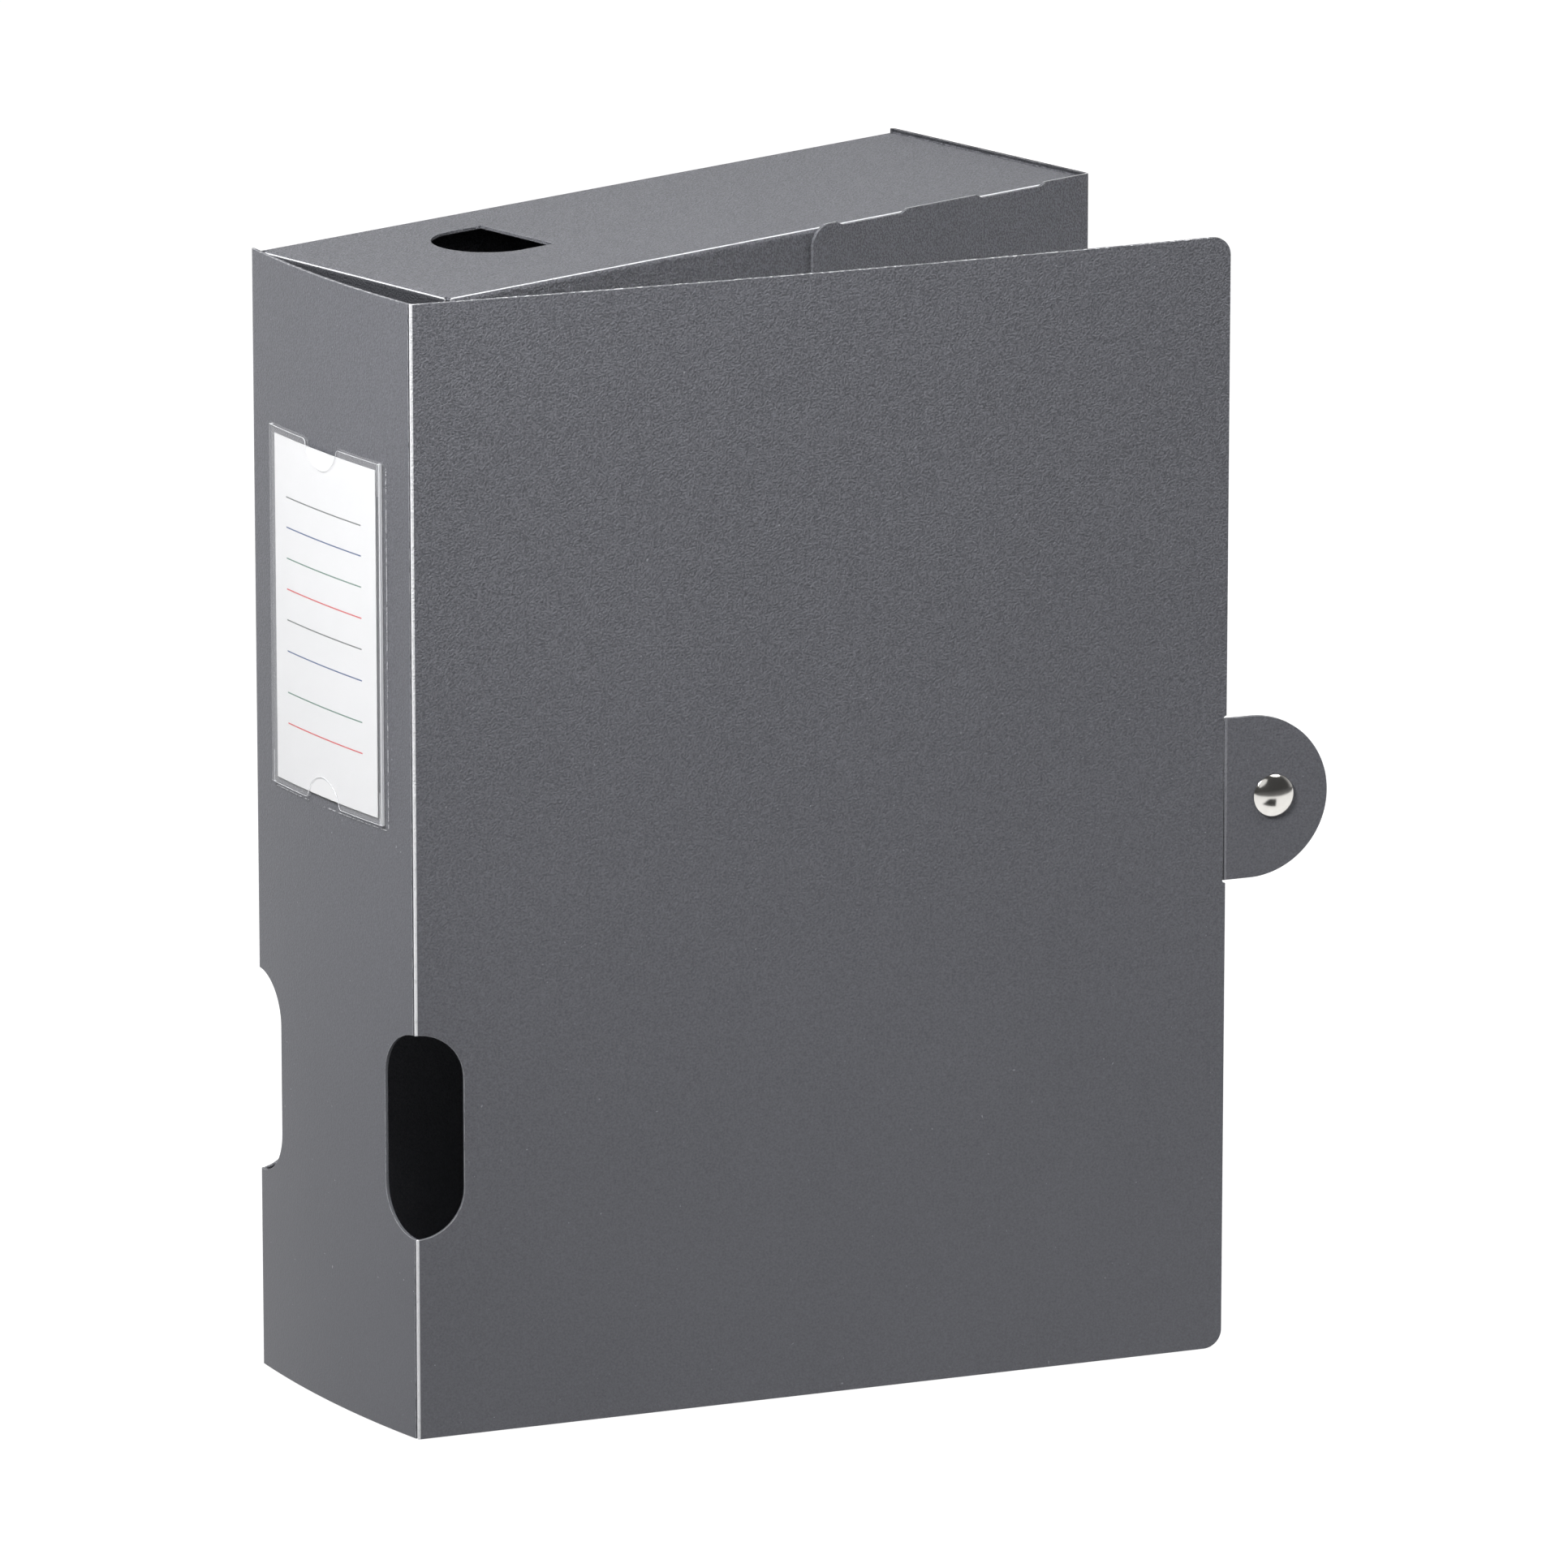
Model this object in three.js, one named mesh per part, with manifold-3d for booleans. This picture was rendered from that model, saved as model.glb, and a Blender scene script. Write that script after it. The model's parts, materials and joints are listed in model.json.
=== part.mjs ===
// A box file: a tray, a bowed spine and a front cover creased from polypropylene sheet,
// with a closure tab, a press stud and a clear label pocket.
// Millimetres, +Z up. The origin is the centre of the bottom panel's outer face.
// The spine faces -X, the front cover faces -Y and the back panel faces +Y.
import * as THREE from 'three';
import { mergeVertices } from 'three/addons/utils/BufferGeometryUtils.js';
import Module from 'manifold-3d';

const wasm = await Module();
wasm.setup();

// Overall sizes of the box
const boxWidth = 245;
const boxDepth = 85;
const boxHeight = 330;
const sheet = 1.0;
const foldRadius = 0.4;

// Clearances
const layerGap = 0.3;
const hingeGap = 0.3;
const seatGap = 0.3;
const coverGap = 0.5;
const wrapGap = 1.5;

// How far the photographed file stands open, in degrees
const spineOpen = 8.9;
const coverOpen = 20.8;

// Spine
const spineBow = 2.6;

// Finger holes on the two spine creases
const fingerHoleWidth = 28;
const fingerHoleHeight = 60;
const fingerHoleBottom = 59;

// Top and bottom panels with their tucked flaps
const panelInset = 2.5;
const panelDrop = 1.0;
const flapLength = 50;
const flapCorner = 9;
const tuckRelief = 1.5;
const panelFrontRelief = 1.5;

// Thumb hole in the top panel
const thumbRadius = 16;
const thumbFromSpine = 59.5;
const thumbFromBack = 33;
const thumbStraight = 11.3;

// Lip: the part of the sheet that turns round the fore-edge wall
const lipWidth = 108;
const lipCorner = 6.5;
const lipRecessDepth = 1.0;
const lipRecessChamfer = 2.0;
const lipRecessLength = 27;
const lipRecessStarts = [17.5, 71.5];

// Front cover
const coverCorner = 5.5;

// Closure tab
const tabLength = 31.5;
const tabWidth = 48;
const tabMiddle = 164.5;
const tabReliefRadius = 0.9;
const tabCloses = 82;

// Press stud
const studReach = 14.6;
const capRadius = 6.3;
const capHeight = 2.3;
const capRim = 0.5;
const shankRadius = 1.2;
const shankClearance = 0.3;
const socketRadius = 5.2;
const socketCavityRadius = 2.7;
const socketFloor = 0.6;
const studFlangeRadius = 4.0;
const studFlange = 0.4;
const postRadius = 1.95;
const postNeck = 0.15;
const postClearance = 0.5;
const snapClearance = 0.9;
const rivetFlangeRadius = 4.5;
const rivetFlange = 0.5;

// Label pocket and label
const pocketFromCrease = 13.2;
const pocketWidth = 60;
const pocketBottom = 177.8;
const pocketHeight = 104.4;
const pocketWeld = 1.2;
const backingMargin = 0.3;
const backingSideMargin = 1.8;
const backingBottomMargin = 1.4;
const film = 0.2;
const card = 0.3;
const cardClearance = 0.25;
const cardBottomMargin = 1.8;
const cardTopMargin = 2.2;
const cardSideMargin = 1.5;
const notchWidth = 16.4;
const notchDepth = 7.5;
const notchShoulder = 1.5;

// Fineness of the curves
const longArcSegments = 20;
const shortArcSegments = 8;
const latheSegments = 32;

const degrees = Math.PI / 180;
const backFace = boxDepth / 2;
const lipFace = -boxDepth / 2;
const foreFace = boxWidth / 2;
const outerFold = foldRadius + sheet;
const hingeSetback = sheet / 2 + hingeGap;

// Hinge axes: each lies at mid thickness of the sheet, on its crease
const spineAxis = new THREE.Vector3(-boxWidth / 2 + sheet / 2, backFace - sheet / 2, 0);
const spineChord = boxDepth + coverGap;
const coverLength = boxWidth + wrapGap;
const closedTabAxis = new THREE.Vector2(spineAxis.x + coverLength, spineAxis.y - spineChord);

// Circle of the bowed spine's mid surface, seen from above in the spine's own frame
const bowRadius = (spineChord ** 2 / 4 + spineBow ** 2) / (2 * spineBow);
const bowCentre = new THREE.Vector2(bowRadius - spineBow, -spineChord / 2);
const bowHalfAngle = Math.asin(spineChord / 2 / bowRadius);

// Closed press stud: how far the tab's inner face stands off the fore-edge wall at the stud
const closedTilt = (90 - tabCloses) * degrees;
const closedStandoff = wrapGap + studReach * Math.sin(closedTilt);
const socketHeight = closedStandoff - 2 * seatGap - studFlange - snapClearance;
const postHeight = closedStandoff - 2 * seatGap - socketFloor - postClearance;
const studFromLip = studReach * Math.cos(closedTilt) + closedTabAxis.y - lipFace;

const axisX = new THREE.Vector3(1, 0, 0);
const axisY = new THREE.Vector3(0, 1, 0);
const axisZ = new THREE.Vector3(0, 0, 1);

// Turns a closed three.js geometry into a manifold solid
function toSolid(geometry) {
  geometry.deleteAttribute('normal');
  geometry.deleteAttribute('uv');
  const merged = mergeVertices(geometry);
  return new wasm.Manifold(new wasm.Mesh({
    numProp: 3,
    vertProperties: new Float32Array(merged.attributes.position.array),
    triVerts: new Uint32Array(merged.index.array),
  }));
}

// Turns a manifold solid back into a geometry with flat normals
function toGeometry(solid) {
  const mesh = solid.getMesh();
  const indexed = new THREE.BufferGeometry();
  indexed.setAttribute('position', new THREE.BufferAttribute(new Float32Array(mesh.vertProperties), 3));
  indexed.setIndex(new THREE.BufferAttribute(new Uint32Array(mesh.triVerts), 1));
  const geometry = indexed.toNonIndexed();
  geometry.computeVertexNormals();
  return geometry;
}

function extrude(shape, depth, segments) {
  return new THREE.ExtrudeGeometry(shape, { depth, bevelEnabled: false, curveSegments: segments });
}

// Outline in plan (x, y), raised from z = low to z = high
function upright(shape, low, high, segments = shortArcSegments) {
  const geometry = extrude(shape, high - low, segments);
  geometry.translate(0, 0, low);
  return toSolid(geometry);
}

// Outline seen from the front (x, z), running from y = low to y = high
function alongY(shape, low, high, segments = shortArcSegments) {
  const geometry = extrude(shape, high - low, segments);
  geometry.applyMatrix4(new THREE.Matrix4().makeBasis(axisX, axisZ, axisY.clone().negate()));
  geometry.translate(0, high, 0);
  return toSolid(geometry);
}

// Outline seen from the side (y, z), running from x = low to x = high
function alongX(shape, low, high, segments = shortArcSegments) {
  const geometry = extrude(shape, high - low, segments);
  geometry.applyMatrix4(new THREE.Matrix4().makeBasis(axisY, axisZ, axisX));
  geometry.translate(low, 0, 0);
  return toSolid(geometry);
}

// Rectangle with its own radius at each corner: lower left, lower right, upper right, upper left
function roundedRectangle(left, bottom, right, top, radii) {
  const [a, b, c, d] = radii;
  const shape = new THREE.Shape();
  shape.moveTo(left + a, bottom);
  shape.lineTo(right - b, bottom);
  if (b > 0) shape.absarc(right - b, bottom + b, b, -Math.PI / 2, 0);
  shape.lineTo(right, top - c);
  if (c > 0) shape.absarc(right - c, top - c, c, 0, Math.PI / 2);
  shape.lineTo(left + d, top);
  if (d > 0) shape.absarc(left + d, top - d, d, Math.PI / 2, Math.PI);
  shape.lineTo(left, bottom + a);
  if (a > 0) shape.absarc(left + a, bottom + a, a, Math.PI, 1.5 * Math.PI);
  return shape;
}

// Upright slot with round ends, centred on x = middle
function slotOutline(middle, bottom, width, height) {
  const r = width / 2;
  return roundedRectangle(middle - r, bottom, middle + r, bottom + height, [r, r, r, r]);
}

// Section of a sheet that follows the corners given by its outer face and is folded at each inner one.
// The sheet lies to the right of the direction of travel.
function foldedSection(corners) {
  const points = corners.map(([x, y]) => new THREE.Vector2(x, y));
  const outside = offsetCorners(points, 0);
  const inside = offsetCorners(points, sheet);
  const shape = new THREE.Shape();
  traceRounded(shape, outside, outerFold, true);
  traceRounded(shape, inside.reverse(), foldRadius, false);
  shape.closePath();
  return shape;
}

// Moves an open run of square corners to its right by a distance
function offsetCorners(points, distance) {
  return points.map((point, i) => {
    const moved = point.clone();
    const runs = [points[i - 1] && [points[i - 1], point], points[i + 1] && [point, points[i + 1]]];
    for (const run of runs.filter(Boolean)) {
      const along = run[1].clone().sub(run[0]).normalize();
      moved.add(new THREE.Vector2(along.y, -along.x).multiplyScalar(distance));
    }
    return moved;
  });
}

// Draws a run of corners, each inner one as an arc of the given radius
function traceRounded(shape, points, radius, first) {
  points.forEach((point, i) => {
    const before = points[i - 1];
    const after = points[i + 1];
    if (!before && first) {
      shape.moveTo(point.x, point.y);
      return;
    }
    if (!before || !after) {
      shape.lineTo(point.x, point.y);
      return;
    }
    const arriving = point.clone().sub(before).normalize();
    const leaving = after.clone().sub(point).normalize();
    const turn = Math.sign(arriving.cross(leaving));
    const start = point.clone().addScaledVector(arriving, -radius);
    const centre = start.clone().add(new THREE.Vector2(-arriving.y, arriving.x).multiplyScalar(turn * radius));
    const from = Math.atan2(start.y - centre.y, start.x - centre.x);
    shape.lineTo(start.x, start.y);
    shape.absarc(centre.x, centre.y, radius, from, from + turn * Math.PI / 2, turn < 0);
  });
}

// Back panel, fore-edge wall and lip: one strip of the sheet round two upright folds
function makeWalls() {
  const lipEnd = foreFace - lipWidth;
  const section = foldedSection([
    [spineAxis.x + hingeSetback, backFace],
    [foreFace, backFace],
    [foreFace, lipFace],
    [lipEnd, lipFace],
  ]);
  let walls = upright(section, 0, boxHeight);

  // Finger hole: half of it lies in the back panel
  const fingerHole = slotOutline(spineAxis.x, fingerHoleBottom, fingerHoleWidth, fingerHoleHeight);
  walls = walls.subtract(alongY(fingerHole, backFace - 2 * sheet, backFace + sheet));

  // The lip's free corners are round
  const lipOutline = roundedRectangle(lipEnd, 0, foreFace + sheet, boxHeight, [lipCorner, 0, 0, lipCorner]);
  const lipReach = [lipEnd - sheet, foreFace - outerFold, lipFace - sheet, lipFace + 2 * sheet];
  const lipRoom = upright(roundedRectangle(lipReach[0], lipReach[2], lipReach[1], lipReach[3],
    [0, 0, 0, 0]), -sheet, boxHeight + sheet);
  walls = walls.subtract(lipRoom.subtract(alongY(lipOutline, lipReach[2] - sheet, lipReach[3] + sheet)));

  // Shallow recesses in the lip's top edge
  for (const start of lipRecessStarts) {
    walls = walls.subtract(alongY(recessOutline(foreFace - start), lipReach[2], lipReach[3]));
  }

  // Hole for the press stud's rivet in the fore-edge wall
  const rivetHole = new THREE.Shape();
  rivetHole.absarc(lipFace + studFromLip, tabMiddle, shankRadius + shankClearance, 0, 2 * Math.PI);
  return walls.subtract(alongX(rivetHole, foreFace - 2 * sheet, foreFace + sheet, latheSegments));
}

// One recess, seen from the front: its right end, its chamfered sides and its flat floor
function recessOutline(right) {
  const floor = boxHeight - lipRecessDepth;
  const above = boxHeight + lipRecessDepth;
  const flare = 2 * lipRecessChamfer;
  const left = right - lipRecessLength;
  return new THREE.Shape([
    new THREE.Vector2(left + lipRecessChamfer, floor),
    new THREE.Vector2(right - lipRecessChamfer, floor),
    new THREE.Vector2(right - lipRecessChamfer + flare, above),
    new THREE.Vector2(left + lipRecessChamfer - flare, above),
  ]);
}

// End panel with its front flap and its two side flaps, as it lies at the top of the box.
// outerLevel is the height of the panel's outer face.
function makeEndPanel(outerLevel) {
  const frontFace = lipFace + sheet + layerGap;
  const flapEnd = outerLevel - flapLength;
  const left = -boxWidth / 2 + panelInset;
  const right = foreFace - sheet - layerGap;
  const above = outerLevel + sheet;

  // Panel and front flap, which tucks in behind the lip
  const frontSection = foldedSection([[frontFace, flapEnd], [frontFace, outerLevel],
    [backFace - sheet / 2, outerLevel]]);
  const frontOutline = roundedRectangle(left + outerFold, flapEnd, right - outerFold, above,
    [flapCorner, flapCorner, 0, 0]);
  const front = alongX(frontSection, left, right)
    .intersect(alongY(frontOutline, frontFace - sheet, backFace));

  // Panel and side flaps, which tuck in beside the spine and the fore-edge wall
  const sideSection = foldedSection([[left, flapEnd], [left, outerLevel], [right, outerLevel],
    [right, flapEnd]]);
  const sideFront = frontFace + outerFold + panelFrontRelief;
  const sideBack = backFace - sheet - tuckRelief;
  const sideOutline = roundedRectangle(sideFront, flapEnd, sideBack, above, [flapCorner, flapCorner, 0, 0]);
  const sides = alongY(sideSection, sideFront, sideBack)
    .intersect(alongX(sideOutline, left - sheet, right + sheet));
  return front.add(sides);
}

// D-shaped thumb hole: round towards the spine, straight towards the fore edge
function cutThumbHole(panel) {
  const middle = -boxWidth / 2 + thumbFromSpine;
  const centre = backFace - thumbFromBack;
  const outline = new THREE.Shape();
  outline.absarc(middle, centre, thumbRadius, Math.PI / 2, 1.5 * Math.PI);
  outline.lineTo(middle + thumbStraight, centre - thumbRadius);
  outline.lineTo(middle + thumbStraight, centre + thumbRadius);
  outline.closePath();
  return panel.subtract(upright(outline, boxHeight - panelDrop - 2 * sheet, boxHeight, longArcSegments));
}

// Takes away what stands outside the round crease between the top panel and the back panel
function rearCreaseCutter(outerLevel) {
  const centre = new THREE.Vector2(backFace - outerFold, outerLevel - outerFold);
  const outline = new THREE.Shape();
  outline.absarc(centre.x, centre.y, outerFold, 0, Math.PI / 2);
  outline.lineTo(centre.x, outerLevel + 2 * sheet);
  outline.lineTo(backFace + sheet, outerLevel + 2 * sheet);
  outline.lineTo(backFace + sheet, centre.y);
  outline.closePath();
  return alongX(outline, -boxWidth / 2 - sheet, foreFace - sheet - layerGap);
}

// Whole tray: walls and both end panels, creased from one sheet
function makeTray() {
  const topLevel = boxHeight - panelDrop;
  const upsideDown = (solid) => solid.mirror([0, 0, 1]).translate([0, 0, boxHeight]);
  return makeWalls()
    .add(cutThumbHole(makeEndPanel(topLevel)))
    .add(upsideDown(makeEndPanel(boxHeight)))
    .subtract(rearCreaseCutter(topLevel))
    .subtract(upsideDown(rearCreaseCutter(boxHeight)));
}

// Ring sector about the bow's centre, between two radii and two distances along the mid surface
function bowSector(inner, outer, from, to) {
  const start = Math.PI - bowHalfAngle + from / bowRadius;
  const end = Math.PI - bowHalfAngle + to / bowRadius;
  const shape = new THREE.Shape();
  shape.absarc(bowCentre.x, bowCentre.y, outer, start, end);
  shape.absarc(bowCentre.x, bowCentre.y, inner, end, start, true);
  shape.closePath();
  return shape;
}

// Bowed spine, in its own frame: rear crease at the origin, front crease at y = -spineChord
function makeSpine() {
  const arcLength = 2 * bowHalfAngle * bowRadius;
  const band = bowSector(bowRadius - sheet / 2, bowRadius + sheet / 2, 0, arcLength - hingeSetback);
  const bead = new THREE.Shape();
  bead.absarc(0, 0, sheet / 2, 0, 2 * Math.PI);
  let spine = upright(band, 0, boxHeight, longArcSegments).add(upright(bead, 0, boxHeight, latheSegments));
  for (const crease of [0, -spineChord]) {
    const hole = slotOutline(crease, fingerHoleBottom, fingerHoleWidth, fingerHoleHeight);
    spine = spine.subtract(alongX(hole, -spineBow - 2 * sheet, 2 * sheet));
  }
  return spine;
}

// Front cover, in its own frame: crease at the origin, fore edge towards +X
function makeCover() {
  const plate = roundedRectangle(0, -sheet / 2, coverLength, sheet / 2, [0, 0, 0, 0]);
  const outline = roundedRectangle(-sheet, 0, coverLength, boxHeight, [0, coverCorner, coverCorner, 0]);
  const bead = new THREE.Shape();
  bead.absarc(0, 0, sheet / 2, 0, 2 * Math.PI);
  let cover = upright(plate, 0, boxHeight)
    .intersect(alongY(outline, -sheet, sheet))
    .add(upright(bead, 0, boxHeight, latheSegments));
  const hole = slotOutline(0, fingerHoleBottom, fingerHoleWidth, fingerHoleHeight);
  cover = cover.subtract(alongY(hole, -sheet, sheet));

  // The tab's crease: the cover stops short of it, with a round relief at each end
  const low = tabMiddle - tabWidth / 2;
  const high = tabMiddle + tabWidth / 2;
  const room = roundedRectangle(coverLength - hingeSetback, low - hingeGap, coverLength + sheet,
    high + hingeGap, [0, 0, 0, 0]);
  cover = cover.subtract(alongY(room, -sheet, sheet));
  for (const end of [low, high]) {
    const relief = new THREE.Shape();
    relief.absarc(coverLength, end, tabReliefRadius, 0, 2 * Math.PI);
    cover = cover.subtract(alongY(relief, -sheet, sheet, latheSegments));
  }
  return cover;
}

// Closure tab, in its own frame: crease at the origin, round end towards +X
function makeTab() {
  const low = tabMiddle - tabWidth / 2;
  const high = tabMiddle + tabWidth / 2;
  const round = Math.min(tabWidth / 2, tabLength - sheet);
  const outline = roundedRectangle(0, low, tabLength, high, [0, round, round, 0]);
  const bead = new THREE.Shape();
  bead.absarc(0, 0, sheet / 2, 0, 2 * Math.PI);
  const hole = new THREE.Shape();
  hole.absarc(studReach, tabMiddle, shankRadius + shankClearance, 0, 2 * Math.PI);
  return alongY(outline, -sheet / 2, sheet / 2, longArcSegments)
    .add(upright(bead, low, high, latheSegments))
    .subtract(alongY(hole, -sheet, sheet, latheSegments));
}

function turned(profile) {
  const points = profile.map(([radius, height]) => new THREE.Vector2(radius, height));
  return toSolid(new THREE.LatheGeometry(points, latheSegments));
}

// Domed cap with a rolled rim and the shank that passes through the tab, axis along y
function makeCap() {
  const shankEnd = -2 * seatGap - sheet - socketFloor;
  const profile = [[0, shankEnd], [shankRadius, shankEnd], [shankRadius, 0], [capRadius - capRim / 2, 0],
    [capRadius, capRim / 2], [capRadius, capRim]];
  const domeSteps = 7;
  for (let i = 1; i <= domeSteps; i += 1) {
    const angle = (i / domeSteps) * 90 * degrees;
    profile.push([capRadius * Math.cos(angle), capRim + (capHeight - capRim) * Math.sin(angle)]);
  }
  profile[profile.length - 1][0] = 0;
  return turned(profile);
}

// Cup that grips the post: a floor with a hole for the shank, and a round wall
function makeSocket() {
  const bore = shankRadius + shankClearance;
  return turned([[bore, 0], [socketRadius, 0], [socketRadius, socketHeight], [socketCavityRadius, socketHeight],
    [socketCavityRadius, socketFloor], [bore, socketFloor], [bore, 0]]);
}

// Flanged hollow post with a neck that the socket snaps round
function makePost() {
  const bore = shankRadius + shankClearance;
  const neck = postRadius - postNeck;
  const waist = (studFlange + postHeight) / 2;
  return turned([[bore, 0], [studFlangeRadius, 0], [studFlangeRadius, studFlange], [neck, studFlange],
    [neck, waist], [postRadius, (waist + postHeight) / 2], [neck, postHeight], [bore, postHeight], [bore, 0]]);
}

// Rivet inside the wall, whose shank carries the post
function makeRivet() {
  const shankEnd = rivetFlange + 2 * seatGap + sheet + postHeight;
  return turned([[0, 0], [rivetFlangeRadius, 0], [rivetFlangeRadius, rivetFlange],
    [shankRadius, rivetFlange], [shankRadius, shankEnd], [0, shankEnd]]);
}

// Clear sleeve on the spine, open at top and bottom, with a thumb notch through both films at each end.
// Its front film is welded along both sides to a backing film, which shows beyond it at the bottom and
// on the side towards the cover.
function makePocket() {
  const back = bowRadius + sheet / 2 + seatGap;
  const front = back + 2 * film + card + 2 * cardClearance;
  const to = pocketFromCrease + pocketWidth;
  const top = pocketBottom + pocketHeight;
  const backing = bowSector(back, back + film, pocketFromCrease - backingMargin, to + backingSideMargin);
  const outside = bowSector(back + film / 2, front, pocketFromCrease, to);
  const inside = bowSector(back, front - film, pocketFromCrease + pocketWeld, to - pocketWeld);
  const sleeve = upright(outside, pocketBottom, top, longArcSegments)
    .subtract(upright(inside, pocketBottom - film, top + film, longArcSegments));
  const notch = alongX(notchOutline(bowPoint(pocketFromCrease + pocketWidth / 2).y),
    -2 * spineBow - 4 * sheet, 0, latheSegments);
  return upright(backing, pocketBottom - backingBottomMargin, top + backingMargin, longArcSegments)
    .add(sleeve)
    .subtract(notch.translate([0, 0, pocketBottom]))
    .subtract(notch.mirror([0, 0, 1]).translate([0, 0, top]));
}

// Thumb notch that opens downwards through an edge at z = 0, with round shoulders
function notchOutline(middle) {
  const half = notchWidth / 2;
  const rise = notchDepth - notchShoulder;
  const radius = (half ** 2 + rise ** 2) / (2 * rise);
  const tilt = Math.asin((radius - rise) / radius);
  const below = -backingBottomMargin - sheet;
  const shape = new THREE.Shape();
  shape.moveTo(middle - half - notchShoulder, below);
  shape.absarc(middle - half - notchShoulder, notchShoulder, notchShoulder, -Math.PI / 2, 0);
  shape.absarc(middle, notchDepth - radius, radius, Math.PI - tilt, tilt, true);
  shape.absarc(middle + half + notchShoulder, notchShoulder, notchShoulder, Math.PI, 1.5 * Math.PI);
  shape.lineTo(middle + half + notchShoulder, below);
  shape.closePath();
  return shape;
}

// Point on the spine's mid surface, at a distance along it from the rear crease
function bowPoint(along) {
  const angle = Math.PI - bowHalfAngle + along / bowRadius;
  return new THREE.Vector2(bowCentre.x + bowRadius * Math.cos(angle), bowCentre.y + bowRadius * Math.sin(angle));
}

// Label card inside the sleeve
function makeCard() {
  const back = bowRadius + sheet / 2 + seatGap + film + cardClearance;
  const side = pocketWeld + cardSideMargin;
  const section = bowSector(back, back + card, pocketFromCrease + side, pocketFromCrease + pocketWidth - side);
  return upright(section, pocketBottom + cardBottomMargin, pocketBottom + pocketHeight - cardTopMargin,
    longArcSegments);
}

function mesh(name, solid, material) {
  const result = new THREE.Mesh(toGeometry(solid), material);
  result.name = name;
  return result;
}

// Finishes, with colours as the photograph shows them
const polypropylene = new THREE.MeshStandardMaterial({ color: 0x5d5f64, roughness: 0.5, metalness: 0 });
const nickel = new THREE.MeshStandardMaterial({ color: 0xc8c6c0, roughness: 0.12, metalness: 1 });
const clearFilm = new THREE.MeshStandardMaterial({
  color: 0xe6eaee, roughness: 0.08, metalness: 0, transparent: true, opacity: 0.3,
});
const whiteCard = new THREE.MeshStandardMaterial({ color: 0xf4f4f6, roughness: 0.7, metalness: 0 });

const boxFile = new THREE.Group();
boxFile.add(mesh('tray', makeTray(), polypropylene));

// The post and its rivet on the fore-edge wall; their axis points towards +X
const towardsFore = new THREE.Quaternion().setFromUnitVectors(axisY, axisX);
const post = mesh('stud_post', makePost(), nickel);
post.quaternion.copy(towardsFore);
post.position.set(foreFace + seatGap, lipFace + studFromLip, tabMiddle);
const rivet = mesh('stud_rivet', makeRivet(), nickel);
rivet.quaternion.copy(towardsFore);
rivet.position.set(foreFace - sheet - seatGap - rivetFlange, lipFace + studFromLip, tabMiddle);
boxFile.add(post, rivet);

// The spine turns on the rear crease
const spineGroup = new THREE.Group();
spineGroup.position.copy(spineAxis);
spineGroup.rotation.z = -spineOpen * degrees;
spineGroup.add(mesh('spine', makeSpine(), polypropylene));
spineGroup.add(mesh('label_pocket', makePocket(), clearFilm));
spineGroup.add(mesh('label_card', makeCard(), whiteCard));
boxFile.add(spineGroup);

// The cover turns on the front crease
const coverGroup = new THREE.Group();
coverGroup.position.set(0, -spineChord, 0);
coverGroup.rotation.z = -(coverOpen - spineOpen) * degrees;
coverGroup.add(mesh('cover', makeCover(), polypropylene));
spineGroup.add(coverGroup);

// The tab turns on its crease at the cover's fore edge and lies in line with the cover
const tabGroup = new THREE.Group();
tabGroup.position.set(coverLength, 0, 0);
tabGroup.add(mesh('closure_tab', makeTab(), polypropylene));
const cap = mesh('stud_cap', makeCap(), nickel);
cap.rotation.x = Math.PI;
cap.position.set(studReach, -sheet / 2 - seatGap, tabMiddle);
const socket = mesh('stud_socket', makeSocket(), nickel);
socket.position.set(studReach, sheet / 2 + seatGap, tabMiddle);
tabGroup.add(cap, socket);
coverGroup.add(tabGroup);

export default boxFile;
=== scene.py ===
# %% [markdown]
# A box file of charcoal polypropylene sheet stands half open on a white table.
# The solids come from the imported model, one for each piece that comes apart on a bench: tray, spine,
# cover, closure tab, press stud, label pocket and label card. This script dresses them. It gives every
# piece its finish, and it swaps a solid for a finer copy where the real piece has a softened edge, a
# slight warp or a rounder dome. First the frame is loaded and its box is kept.

import json
import math

import bmesh
import bpy
from mathutils import Matrix, Vector
from mathutils.bvhtree import BVHTree
from mathutils.geometry import intersect_point_line


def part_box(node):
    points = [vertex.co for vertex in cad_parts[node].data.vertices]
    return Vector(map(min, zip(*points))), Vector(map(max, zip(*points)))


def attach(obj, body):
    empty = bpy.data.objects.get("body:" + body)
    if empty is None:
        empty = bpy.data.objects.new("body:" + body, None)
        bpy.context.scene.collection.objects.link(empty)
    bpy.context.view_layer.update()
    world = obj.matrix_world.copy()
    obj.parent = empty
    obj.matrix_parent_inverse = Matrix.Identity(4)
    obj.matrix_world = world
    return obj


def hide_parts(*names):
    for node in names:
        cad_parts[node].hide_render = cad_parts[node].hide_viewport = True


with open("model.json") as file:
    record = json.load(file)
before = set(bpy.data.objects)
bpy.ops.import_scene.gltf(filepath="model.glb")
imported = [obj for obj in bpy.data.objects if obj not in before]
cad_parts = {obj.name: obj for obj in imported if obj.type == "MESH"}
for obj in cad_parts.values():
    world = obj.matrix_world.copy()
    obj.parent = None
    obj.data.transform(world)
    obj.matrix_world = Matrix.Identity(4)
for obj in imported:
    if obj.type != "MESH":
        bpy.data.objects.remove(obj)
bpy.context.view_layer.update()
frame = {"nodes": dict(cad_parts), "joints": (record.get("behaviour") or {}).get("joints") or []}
nodes = frame["nodes"]
print("nodes:", sorted(nodes))

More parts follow.
